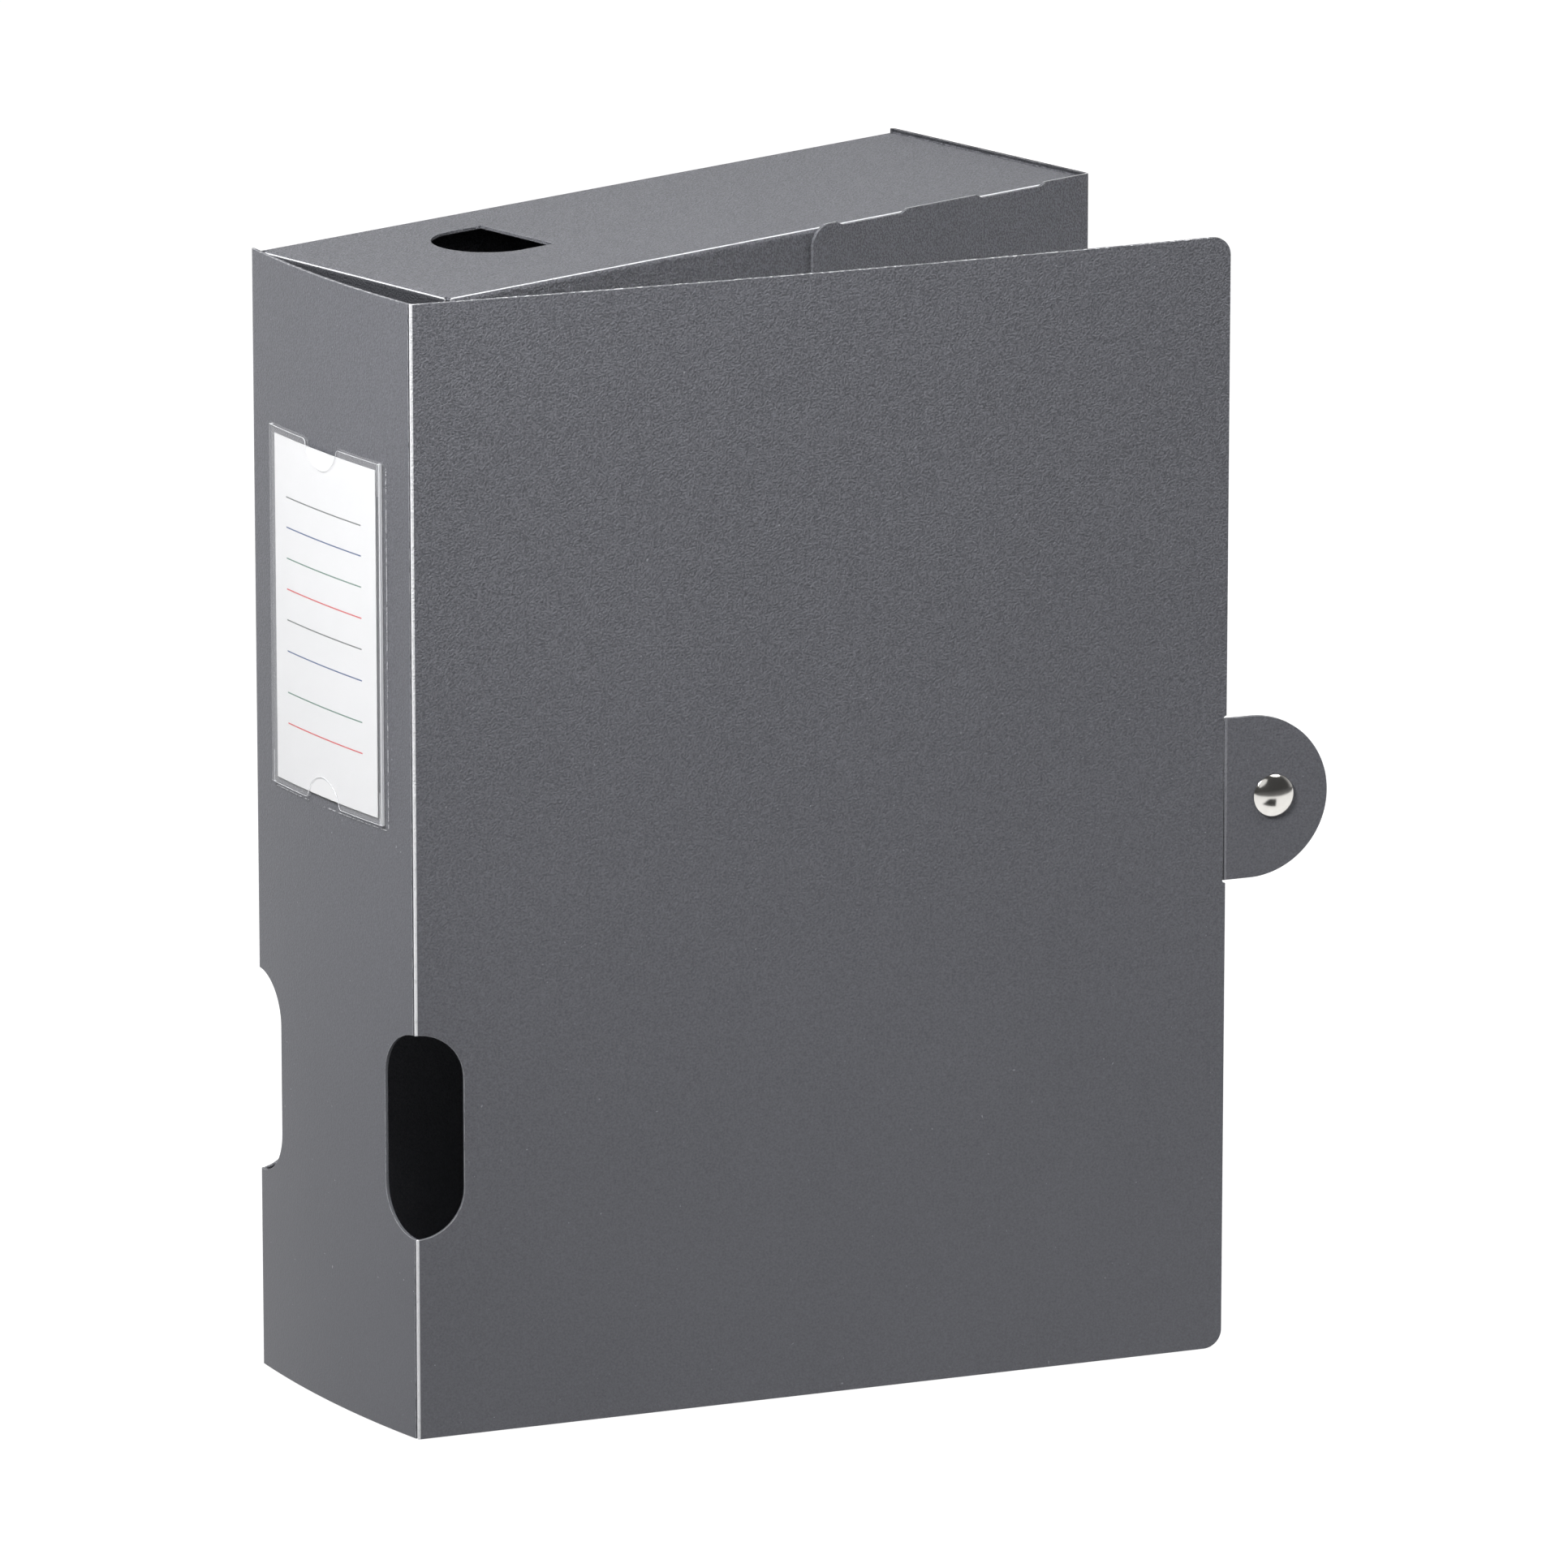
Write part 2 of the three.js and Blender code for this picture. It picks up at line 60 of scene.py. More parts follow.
# %% [markdown]
# Blender works in metres, and the sizes of a box file read best in millimetres, so a small constant
# turns one into the other. The joints of the record say where each crease lies, so each panel's own
# frame is worked out from them: its corner on the crease, and how far it is turned about the upright.

# %% Creases and panel frames
MM = 0.001
HEIGHT = 330 * MM
TOP_LEVEL = 329 * MM
joints = {joint["name"]: joint for joint in frame["joints"]}
rear_crease = Vector(joints["spine_hinge"]["pos_m"])
front_crease = Vector(joints["cover_hinge"]["pos_m"])
tab_crease = Vector(joints["tab_hinge"]["pos_m"])
across_cover = tab_crease - front_crease
across_spine = front_crease - rear_crease
cover_turn = -math.atan2(across_cover.y, across_cover.x)
spine_turn = math.atan2(-across_spine.x, -across_spine.y)
cover_width = across_cover.xy.length
print("cover turned", round(math.degrees(cover_turn), 2), "and", round(cover_width / MM, 1), "mm wide")
print("spine turned", round(math.degrees(spine_turn), 2))


def to_panel(origin, turn):
    """Takes a point of the row frame into a panel's own frame."""
    base = Vector((origin.x, origin.y, 0))
    return Matrix.Rotation(turn, 4, "Z") @ Matrix.Translation(-base)


cover_frame = to_panel(front_crease, cover_turn)
spine_frame = to_panel(rear_crease, spine_turn)
tab_frame = to_panel(tab_crease, cover_turn)

# %% [markdown]
# Cycles materials are graphs of nodes, which are tedious to write one link at a time. The class below
# wraps a socket, so that sums on it are written as ordinary Python sums, and each sum adds its Math
# node. One method of the graph adds every other kind of node: settings first, sockets after.

# %% Shader maths
class Wire:
    def __init__(self, graph, socket):
        self.graph = graph
        self.socket = socket

    def out(self, name):
        return Wire(self.graph, self.socket.node.outputs[name])

    def math(self, operation, a, b=0.0):
        return self.graph.add("ShaderNodeMath", {"operation": operation}, {0: a, 1: b})

    def __add__(self, other):
        return self.math("ADD", self, other)

    def __radd__(self, other):
        return self.math("ADD", other, self)

    def __sub__(self, other):
        return self.math("SUBTRACT", self, other)

    def __rsub__(self, other):
        return self.math("SUBTRACT", other, self)

    def __mul__(self, other):
        return self.math("MULTIPLY", self, other)

    def __rmul__(self, other):
        return self.math("MULTIPLY", other, self)

    def __abs__(self):
        return self.math("ABSOLUTE", self)

    def low(self, other):
        return self.math("MINIMUM", self, other)

    def high(self, other):
        return self.math("MAXIMUM", self, other)


# %% [markdown]
# The graph starts from one Principled shader. Its helpers name what a finish is made of: the place on
# the piece, an attribute, a noise, a band round a line, a mix of two colours and a bump. Object
# coordinates are metres in the row frame here, because every piece sits untransformed at the origin.

# %% Material graph
class Graph:
    def __init__(self, owner, shader="ShaderNodeBsdfPrincipled", end="ShaderNodeOutputMaterial", **fixed):
        self.owner = bpy.data.materials.new(owner) if isinstance(owner, str) else owner
        self.owner.use_nodes = True
        self.tree = self.owner.node_tree
        self.tree.nodes.clear()
        self.shader = self.tree.nodes.new(shader)
        output = self.tree.nodes.new(end)
        self.tree.links.new(self.shader.outputs[0], output.inputs["Surface"])
        for key, value in fixed.items():
            self.feed(key.replace("_", " "), value)

    def add(self, kind, settings, sockets, output=0):
        node = self.tree.nodes.new(kind)
        for name, value in settings.items():
            setattr(node, name, value)
        for key, value in sockets.items():
            if isinstance(value, Wire):
                self.tree.links.new(value.socket, node.inputs[key])
            else:
                node.inputs[key].default_value = value
        return Wire(self, node.outputs[output])

    def feed(self, name, value):
        if isinstance(value, Wire):
            self.tree.links.new(value.socket, self.shader.inputs[name])
        else:
            self.shader.inputs[name].default_value = value

    def place(self):
        return self.add("ShaderNodeTexCoord", {}, {}).out("Object")

    def panel(self, matrix):
        turn = matrix.to_euler().z
        return self.add("ShaderNodeMapping", {"vector_type": "POINT"}, {
            "Vector": self.place(), "Location": matrix.translation, "Rotation": (0, 0, turn)})

    def axes(self, vector):
        parts = self.add("ShaderNodeSeparateXYZ", {}, {0: vector})
        return parts.out("X"), parts.out("Y"), parts.out("Z")

    def attribute(self, name):
        return self.add("ShaderNodeAttribute", {"attribute_name": name}, {}).out("Fac")

    def noise(self, vector, size, detail=2.0, roughness=0.5):
        return self.add("ShaderNodeTexNoise", {}, {
            "Vector": vector, "Scale": 1 / size, "Detail": detail, "Roughness": roughness})

    def rise(self, value, start, end):
        return self.add("ShaderNodeMapRange", {"interpolation_type": "SMOOTHSTEP"}, {
            0: value, 1: start, 2: end, 3: 0.0, 4: 1.0})

    def band(self, value, middle, half, soft):
        return 1 - self.rise(abs(value - middle), half, half + soft)

    def mix(self, factor, a, b):
        return self.add("ShaderNodeMix", {"data_type": "RGBA"}, {0: factor, 6: a, 7: b}, 2)

    def bump(self, height, distance, strength):
        return self.add("ShaderNodeBump", {}, {
            "Height": height, "Distance": distance, "Strength": strength})


# %% [markdown]
# A colour is easiest to judge as the 0 to 255 values that a screen shows, but a shader reckons in
# linear light. The helper below turns one into the other, so every colour here is written as it looks.

# %% Sheet colours
def srgb(red, green, blue):
    """A colour written with the 0 to 255 values that a screen shows."""
    def linear(value):
        value = value / 255
        return value / 12.92 if value <= 0.04045 else ((value + 0.055) / 1.055) ** 2.4
    return (linear(red), linear(green), linear(blue), 1.0)


SHEET_DARK, SHEET_LIGHT = srgb(93, 94, 99), srgb(122, 123, 129)
PIGMENT_SPECK = srgb(184, 185, 189)
# white of the creases and rims: partly stress white in the sheet, partly a painted highlight
STRESS_WHITE_AND_HIGHLIGHT = srgb(242, 242, 245)
# painted highlight on the softened cut edges
EDGE_HIGHLIGHT = srgb(166, 167, 171)
# painted shade for the tray's cut tops, the gap inside the fore-edge wall and the tucked flap
PAINTED_SHADE = srgb(50, 51, 55)
print("dark of the sheet in linear light:", [round(value, 3) for value in SHEET_DARK])

# %% [markdown]
# The sheet is extruded polypropylene with a fine sand grain rolled into it. The grain catches light as
# a soft mottling under a millimetre across, with a rare bright speck where a pigment grain shows. An
# image of the grain would repeat over a panel this large, so noises of three sizes make it. The grain's
# colour is painted quieter near the foot, as painted shade where less light skims it. Where the sheet is
# creased or die-cut it turns white from stress and also catches a highlight, so each piece gets the
# masks of its own creases, which paint both, and the softened cut edges carry an attribute that
# lightens them with a painted highlight.

# %% Sheet finish
GRAIN_SIZE = 0.6 * MM
MOTTLE_SIZE = 2.2 * MM
CLOUD_SIZE = 60 * MM
SPECK_SIZE = 0.9 * MM
RUB_SIZE = 3 * MM
FOOT_GRAIN = 0.3
GRAIN_RELIEF = 0.5 * MM


def sheet_finish(name, creases, grain, edge_highlight_share=1.0, shade=None):
    graph = Graph(name, Specular_IOR_Level=0.25)
    place = graph.place()
    _, _, z = graph.axes(place)
    # painted shade: the grain's contrast fades towards the foot, where less light skims it
    grain = grain * (FOOT_GRAIN + graph.rise(z, 20 * MM, 300 * MM) * (1 - FOOT_GRAIN))
    fine = graph.noise(place, GRAIN_SIZE, 2.0, 0.6)
    coarse = graph.noise(place, MOTTLE_SIZE, 2.0, 0.6)
    broad = graph.noise(place, CLOUD_SIZE, 2.0, 0.5)
    speck = graph.rise(graph.noise(place, SPECK_SIZE, 0.0), 0.86, 0.90)
    tone = ((fine - 0.5) * 0.95 + (coarse - 0.5) * 0.12) * grain + (broad - 0.5) * 0.06
    colour = graph.mix(graph.rise(tone, -0.25, 0.25), SHEET_DARK, SHEET_LIGHT)
    colour = graph.mix(speck * 0.5, colour, PIGMENT_SPECK)
    # painted shade: darkens the colour where the mask says the sheet lies in shade
    if shade is not None:
        colour = graph.mix(shade(graph), colour, PAINTED_SHADE)
    # painted highlight: the bevelled cut edges are lightened, broken up by a noise
    highlight_breakup = graph.rise(graph.noise(place, RUB_SIZE, 3.0, 0.7), 0.3, 0.6)
    colour = graph.mix(graph.attribute("edge") * highlight_breakup * edge_highlight_share, colour, EDGE_HIGHLIGHT)
    # crease bands: the crease's stress white plus a painted highlight where the crease catches the light
    colour = graph.mix(creases(graph), colour, STRESS_WHITE_AND_HIGHLIGHT)
    graph.feed("Base Color", colour)
    graph.feed("Roughness", 0.40 + (fine - 0.5) * 0.16)
    relief = (fine * 0.8 + coarse * 0.2) * grain
    graph.feed("Normal", graph.bump(relief, GRAIN_RELIEF, 0.9))
    print("finish:", name)
    return graph.owner


# %% [markdown]
# Each crease is a straight line in its panel's own frame, so its mask is a narrow band on one
# coordinate there. The band paints both the stress white of the crease and the highlight that its
# round catches. It could be painted on a UV map, but a band stays sharp at any size. A noise along the
# line breaks it up a little, as the stress is never quite even, and the cut top rims get a burr with a
# painted highlight.

# %% Creases of the spine, the cover and the tab
RIM_FROM, RIM_TO = HEIGHT - 0.15 * MM, HEIGHT - 0.02 * MM


def broken(graph, vector, low=0.25, high=0.5):
    return graph.rise(graph.noise(vector, 4 * MM, 3.0, 0.7), low, high)


# top rims painted pale: burr specks plus a painted highlight along the rim
def rim_burr_and_highlight(graph, local, z):
    burr = graph.rise(graph.noise(local, 1.5 * MM, 1.0), 0.52, 0.62)
    return graph.rise(z, RIM_FROM, RIM_TO) * burr


def spine_creases(graph):
    local = graph.panel(spine_frame)
    _, y, z = graph.axes(local)
    rear = graph.band(y, 0.0, 0.35 * MM, 0.2 * MM)
    return (rear * broken(graph, local) * 0.08).high(rim_burr_and_highlight(graph, local, z) * 0.3)


def cover_creases(graph):
    local = graph.panel(cover_frame)
    x, _, z = graph.axes(local)
    front = 1 - graph.rise(x, 0.15 * MM, 0.4 * MM)
    return (front * (broken(graph, local) * 0.25 + 0.75)).high(rim_burr_and_highlight(graph, local, z) * 0.75)


def tab_creases(graph):
    local = graph.panel(tab_frame)
    x, _, _ = graph.axes(local)
    return graph.band(x, 0.0, 0.15 * MM, 0.2 * MM) * broken(graph, local) * 0.12


print("top rims turn pale from", round(RIM_FROM / MM, 2), "mm upwards")

# %% [markdown]
# The end panels of the tray have creases to the side flap by the spine and to the flap behind the lip.
# Both are round folds, so a band follows the slope of the fold, a little way over and down; it paints
# partly the stress white of the fold and partly a highlight. The cut top of the walls, the gap along
# the fore-edge wall and the tucked side flap lie in shade, and their colour is darkened there as
# painted shade.

# %% Creases and shade of the tray
PANEL_LEFT = -120 * MM
PANEL_FRONT = -41.2 * MM
WALL_INSIDE = 121.5 * MM
LIP_INSIDE = -42.3 * MM
FOLD_END = (1.6 * MM, 2.4 * MM)


# painted shade mask: cut tops, the gap inside the fore-edge wall and the tucked side flap
def tray_shade(graph):
    x, y, z = graph.axes(graph.place())
    top = graph.rise(z, HEIGHT - 0.15 * MM, HEIGHT - 0.05 * MM)
    wall = graph.band(x, WALL_INSIDE, 0.6 * MM, 0.2 * MM)
    wall = wall * graph.rise(y, LIP_INSIDE, LIP_INSIDE + 0.3 * MM)
    wall = wall * graph.rise(z, TOP_LEVEL + 0.02 * MM, TOP_LEVEL + 0.15 * MM)
    tucked = 1 - graph.rise(x, PANEL_LEFT + 0.05 * MM, PANEL_LEFT + 0.5 * MM)
    tucked = tucked * (1 - graph.rise(y, 36 * MM, 38 * MM))
    return top.high(wall).high(tucked) * 0.85


# fold bands: partly the fold's stress white, partly a painted highlight on the slope of the fold
def tray_creases(graph):
    place = graph.place()
    x, y, z = graph.axes(place)
    drop = (TOP_LEVEL - z).low(z)
    left = graph.band((x - PANEL_LEFT) - drop, 0.0, 0.2 * MM, 0.18 * MM)
    left = left * (1 - graph.rise((x - PANEL_LEFT) + drop, *FOLD_END))
    front = graph.band((y - PANEL_FRONT) - drop, 0.6 * MM, 0.22 * MM, 0.2 * MM)
    front = front * (1 - graph.rise((y - PANEL_FRONT) + drop, *FOLD_END))
    return (left * 0.85).high(front * (broken(graph, place, 0.2, 0.42) * 0.35 + 0.6))


print("end panels start", round(PANEL_LEFT / MM, 1), "mm from the middle")

# %% [markdown]
# A cut sheet never has a knife-sharp corner: the die rounds it by about a tenth of a millimetre, and
# that narrow round catches the light along every outline. A Bevel modifier would round the edges too,
# but the finish paints a highlight on the new narrow faces and has to know them, so the bevel is run on
# a bmesh here and marks them with an attribute. A solid of the frame is loose triangles, so its copy is
# merged and its flat faces are joined first.

# %% Softened edges
MERGE_DISTANCE = 0.0005 * MM
FLAT_ANGLE = math.radians(0.2)


def joined_copy(node):
    work = bmesh.new()
    work.from_mesh(nodes[node].data)
    bmesh.ops.remove_doubles(work, verts=work.verts, dist=MERGE_DISTANCE)
    bmesh.ops.dissolve_limit(work, angle_limit=FLAT_ANGLE, verts=work.verts, edges=work.edges)
    work.edges.index_update()
    return work


def soften(work, width, corners):
    edge = work.faces.layers.float.new("edge")
    made = bmesh.ops.bevel(work, geom=corners, offset=width, offset_type="OFFSET", affect="EDGES",
                           segments=2, profile=0.5, material=-1, clamp_overlap=False)
    for face in made["faces"]:
        face[edge] = 1.0


# %% [markdown]
# Every piece is finished in the same way: smooth shading that breaks at real corners, and a mesh that
# becomes an object at the origin.

# %% From a bmesh to a dressed piece
SHADING_BREAK = math.radians(50)


def shade_smooth(work):
    for face in work.faces:
        face.smooth = True
    for e in work.edges:
        e.smooth = e.calc_face_angle(0) < SHADING_BREAK


def to_piece(work, name):
    mesh = bpy.data.meshes.new(name)
    work.to_mesh(mesh)
    work.free()
    piece = bpy.data.objects.new(name, mesh)
    bpy.context.scene.collection.objects.link(piece)
    print(name, "has", len(mesh.polygons), "faces")
    return piece


def wear(piece, material, body, slot_name, *replaced):
    piece.data.materials.clear()
    piece.data.materials.append(material)
    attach(piece, body)
    if replaced:
        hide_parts(*replaced)


# %% [markdown]
# In a corner that is tighter than the round, a bevel folds over itself. Such corners are found by
# trial. The copy is bevelled, the corners beside each fold go on a list of those that stay as cut, and
# a fresh copy is bevelled without them. Short corners go on the list first, because they are the likely
# cause. Weighted normals then keep the flat faces flat beside their narrow rounds.

# %% Fine copy of a solid
FOLD_ANGLE = math.radians(150)
SHORT_EDGE = 2 * MM
SHARP_CORNER = math.radians(35)
TRIALS = 8


def folded_points(work):
    folds = [e for e in work.edges if e.is_manifold and e.calc_face_angle(0) > FOLD_ANGLE]
    return [vert.co.copy() for e in folds for vert in e.verts]


def distance_to_edge(point, ends):
    share = intersect_point_line(point, *ends)[1]
    return (ends[0].lerp(ends[1], min(max(share, 0), 1)) - point).length


def fine_copy(node, name, width, reshape=None):
    left_as_cut = set()
    for _ in range(TRIALS):
        work = joined_copy(node)
        corners = [e for e in work.edges if e.is_manifold and e.calc_face_angle(0) > SHARP_CORNER]
        corners = [e for e in corners if e.index not in left_as_cut]
        ends = {e.index: [vert.co.copy() for vert in e.verts] for e in corners}
        soften(work, width, corners)
        folds = folded_points(work)
        if not folds:
            break
        tight = {index for index, pair in ends.items()
                 if min(distance_to_edge(point, pair) for point in folds) < 3 * width}
        short = {index for index in tight if (ends[index][1] - ends[index][0]).length < SHORT_EDGE}
        left_as_cut |= short or tight
    print(name, "keeps", len(left_as_cut), "corners as cut, folds left", len(folds))
    if reshape is not None:
        reshape(work)
    shade_smooth(work)
    piece = to_piece(work, name)
    even = piece.modifiers.new("even shading", "WEIGHTED_NORMAL")
    even.mode = "FACE_AREA"
    even.weight = 100
    even.keep_sharp = True
    return piece


# %% [markdown]
# The tray is one folded sheet with its flaps tucked in. It could be folded again from a flat blank, but
# its solid already has every fold, so it keeps that form and only its edges are softened.

# %% Tray
CUT_EDGE = 0.12 * MM
tray = fine_copy("tray", "folded_tray", CUT_EDGE)
wear(tray, sheet_finish("tray sheet", tray_creases, 2.0, 0.5, tray_shade), "tray", "sheet", "tray")

# %% [markdown]
# The spine is the panel between the two upright creases, and it bows outwards a little when the file
# stands open. Its solid has that bow, so a copy with soft edges is enough, in the same sheet with a
# quieter grain.

# %% Spine
spine = fine_copy("spine", "bowed_spine", CUT_EDGE)
wear(spine, sheet_finish("spine sheet", spine_creases, 0.7), "spine", "sheet", "spine")

# %% [markdown]
# A free-standing cover of 1 mm sheet is never quite flat. Its top edge bulges about three millimetres
# outwards half way along, while its foot stays straight. A Simple Deform modifier would bend it evenly
# from top to foot, so a grid of cuts gives the flat plate points, and each point is moved by its place.

# %% Front cover
COVER_WARP = 3.0 * MM
CUTS_ALONG, CUTS_UP = 16, 14


def warp_cover(work):
    back = cover_frame.inverted()
    outwards = (back.to_3x3() @ Vector((0, -1, 0))).normalized()
    along = (back.to_3x3() @ Vector((1, 0, 0))).normalized()
    cuts = [(back @ Vector((cover_width * i / CUTS_ALONG, 0, 0)), along) for i in range(1, CUTS_ALONG)]
    cuts += [(Vector((0, 0, HEIGHT * i / CUTS_UP)), Vector((0, 0, 1))) for i in range(1, CUTS_UP)]
    for point, normal in cuts:
        bmesh.ops.bisect_plane(work, geom=work.verts[:] + work.edges[:] + work.faces[:],
                               dist=0.001 * MM, plane_co=point, plane_no=normal)
    for vert in work.verts:
        local = cover_frame @ vert.co
        share = min(max(local.x / cover_width, 0), 1)
        rise = min(max(local.z / HEIGHT, 0), 1) ** 1.6
        vert.co += outwards * COVER_WARP * math.sin(math.pi * share) * rise


cover = fine_copy("cover", "warped_cover", CUT_EDGE, reshape=warp_cover)
wear(cover, sheet_finish("cover sheet", cover_creases, 1.45), "cover", "sheet", "cover")

# %% [markdown]
# The closure tab is the same sheet again, creased where it leaves the cover. The cover's warp is nearly
# nothing at that crease, so the tab stays flat and only its edges are softened.

# %% Closure tab
tab = fine_copy("closure_tab", "round_tab", CUT_EDGE)
wear(tab, sheet_finish("tab sheet", tab_creases, 1.1), "tab", "sheet", "closure_tab")

# %% [markdown]
# On the real file the crease is a thin web of the same sheet, so no light comes through between cover
# and tab. The web bends, which a rigid piece can't, so a slim oval rod just inside the joint's clearance
# stands for it. It rides on the tab and turns with it.

# %% Web of the tab's crease
WEB_REACH, WEB_THICKNESS = 0.74 * MM, 0.84 * MM
TAB_MIDDLE = 164.5 * MM
TAB_WIDTH = 48 * MM


def make_web():
    work = bmesh.new()
    bmesh.ops.create_cone(work, cap_ends=True, segments=24, radius1=WEB_REACH, radius2=WEB_REACH,
                          depth=TAB_WIDTH)
    bmesh.ops.scale(work, vec=(1, WEB_THICKNESS / 2 / WEB_REACH, 1), verts=work.verts)
    bmesh.ops.translate(work, vec=(0, 0, TAB_MIDDLE), verts=work.verts)
    bmesh.ops.transform(work, matrix=tab_frame.inverted(), verts=work.verts)
    for face in work.faces:
        face.smooth = len(face.verts) == 4
    return to_piece(work, "crease_web")


wear(make_web(), tab.data.materials[0], "tab", "sheet")
print("web reaches", round(WEB_REACH / MM, 2), "mm from the crease")

# %% [markdown]
# Press studs are drawn from thin steel and plated with bright nickel. The plating is smooth, with a
# faint haze and fine handling marks, so its roughness varies more than its colour. The three hidden
# parts of the stud keep their solids and take the same plating.

# %% Nickel plating
HAZE_SIZE, MARK_SIZE = 2.5 * MM, 0.5 * MM


def nickel_plating():
    graph = Graph("bright nickel", Metallic=1.0)
    place = graph.place()
    haze = graph.noise(place, HAZE_SIZE, 3.0, 0.6)
    marks = graph.noise(place, MARK_SIZE, 2.0, 0.6)
    graph.feed("Base Color", graph.mix(haze, srgb(214, 211, 206), srgb(228, 226, 222)))
    graph.feed("Roughness", 0.10 + haze * 0.08 + graph.rise(marks, 0.6, 0.75) * 0.06)
    graph.feed("Normal", graph.bump(haze, 0.02 * MM, 0.2))
    return graph.owner


nickel = nickel_plating()
for name in ("stud_socket", "stud_post", "stud_rivet"):
    nodes[name].data.materials.clear()
    nodes[name].data.materials.append(nickel)
    print(name, "is plated")

# %% [markdown]
# The cap's dome is what shows, and its reflections give away every facet. Smooth shading alone would
# leave the outline angular, so it is spun again from a profile with many steps: the shank, the flat
# underside, the rolled rim and the shallow dome. The dome is part sphere and part ellipse, which turns
# down more steeply at the rim. The profile is in millimetres: radius first, then height.

# %% Stud cap
SHANK = [(0, -2.2), (1.2, -2.2), (1.2, 0)]
ROLLED_RIM = [(6.0, 0), (6.22, 0.07), (6.3, 0.28), (6.22, 0.5), (6.1, 0.6)]
DOME_RADIUS, DOME_FOOT, DOME_RISE = 6.1, 0.6, 1.7
DOME_STEPS, DOME_TURNS = 14, 56
STUD_REACH = 14.6 * MM
TAB_FACE = -0.8 * MM
solid_low, solid_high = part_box("stud_cap")
cap_axis = cover_frame.to_3x3().inverted() @ Vector((0, -1, 0))
seat = tab_frame.inverted() @ Vector((STUD_REACH, TAB_FACE, TAB_MIDDLE))


def cap_profile():
    points = SHANK + ROLLED_RIM
    for step in range(1, DOME_STEPS + 1):
        share = 1 - step / DOME_STEPS
        sphere = 1 - share ** 2
        ellipse = (1 - share ** 2) ** 0.5
        points.append((DOME_RADIUS * share, DOME_FOOT + DOME_RISE * (sphere * 0.7 + ellipse * 0.3)))
    return [Vector((radius * MM, 0, height * MM)) for radius, height in points]


def make_cap():
    work = bmesh.new()
    chain = [work.verts.new(point) for point in cap_profile()]
    edges = [work.edges.new(pair) for pair in zip(chain, chain[1:])]
    bmesh.ops.spin(work, geom=chain + edges, cent=(0, 0, 0), axis=(0, 0, 1), angle=math.tau,
                   steps=DOME_TURNS, use_merge=True)
    bmesh.ops.remove_doubles(work, verts=work.verts, dist=0.002 * MM)
    bmesh.ops.recalc_face_normals(work, faces=work.faces)
    upright = Vector((0, 0, 1)).rotation_difference(cap_axis).to_matrix().to_4x4()
    bmesh.ops.transform(work, matrix=Matrix.Translation(seat) @ upright, verts=work.verts)
    shade_smooth(work)
    return to_piece(work, "domed_cap")


cap = make_cap()
wear(cap, nickel, "tab", "nickel", "stud_cap")
print("cap sits at", [round(value, 4) for value in seat])
print("its solid spans", [round((b - a) / MM, 1) for a, b in zip(solid_low, solid_high)], "mm")

# %% [markdown]
# The label card is smooth white board printed with eight thin ruled lines to write on. Ink has next to
# no thickness, so the lines aren't pieces but bands of colour at set heights. They stop short of both
# sides, and four quiet colours repeat.

# %% Label card
RULED = [(262.8, "grey"), (254.0, "blue"), (245.0, "green"), (236.0, "red"),
         (227.0, "grey"), (217.9, "blue"), (205.8, "green"), (196.8, "red")]
INKS = {"grey": srgb(112, 118, 118), "blue": srgb(70, 96, 142), "green": srgb(104, 140, 126),
        "red": srgb(222, 84, 90)}
RULED_FROM, RULED_TO = 22.7 * MM, 63.4 * MM
LINE_HALF, LINE_SOFT, LINE_END = 0.17 * MM, 0.06 * MM, 0.1 * MM
CARD_EDGE = 0.04 * MM


def card_finish():
    graph = Graph("ruled card", Roughness=0.62)
    local = graph.panel(spine_frame)
    _, y, z = graph.axes(local)
    along = 0 - y
    fibre = graph.noise(local, 0.6 * MM, 3.0, 0.6)
    colour = graph.mix(fibre, srgb(246, 246, 247), srgb(250, 250, 251))
    inside = graph.rise(along, RULED_FROM - LINE_END, RULED_FROM + LINE_END)
    inside = inside * (1 - graph.rise(along, RULED_TO - LINE_END, RULED_TO + LINE_END))
    for level, ink in RULED:
        line = graph.band(z, level * MM, LINE_HALF, LINE_SOFT)
        colour = graph.mix(line * inside, colour, INKS[ink])
    graph.feed("Base Color", colour)
    graph.feed("Normal", graph.bump(fibre, 0.01 * MM, 0.3))
    print("ruled lines:", len(RULED))
    return graph.owner


card = fine_copy("label_card", "ruled_card", CARD_EDGE)
wear(card, card_finish(), "spine", "card", "label_card")

# %% [markdown]
# The pocket is clear polypropylene film, welded along its sides. It greys the sheet behind it a
# little, which is painted sheen of its surfaces, and its cut edges glow white as painted highlights,
# while its weld lines are white in the film itself. A glass shader would bend the light, which so thin
# a film hardly does, so Alpha carries the look: low on the faces and high on the narrow edge faces.
# Only the outer film shows strong lines, so the faces that stand well off the spine get an attribute
# of their own.

# %% Label pocket
POCKET_FROM, POCKET_TO = 13.2 * MM, 73.2 * MM
POCKET_BOTTOM, POCKET_TOP = 177.8 * MM, 282.2 * MM
BACKING_SIDE, BACKING_FOOT = POCKET_TO + 1.65 * MM, POCKET_BOTTOM - 1.3 * MM
BARE_HALF = 42.5 * MM
LINE_FADE = 0.1 * MM
FILM_EDGE = 0.09 * MM


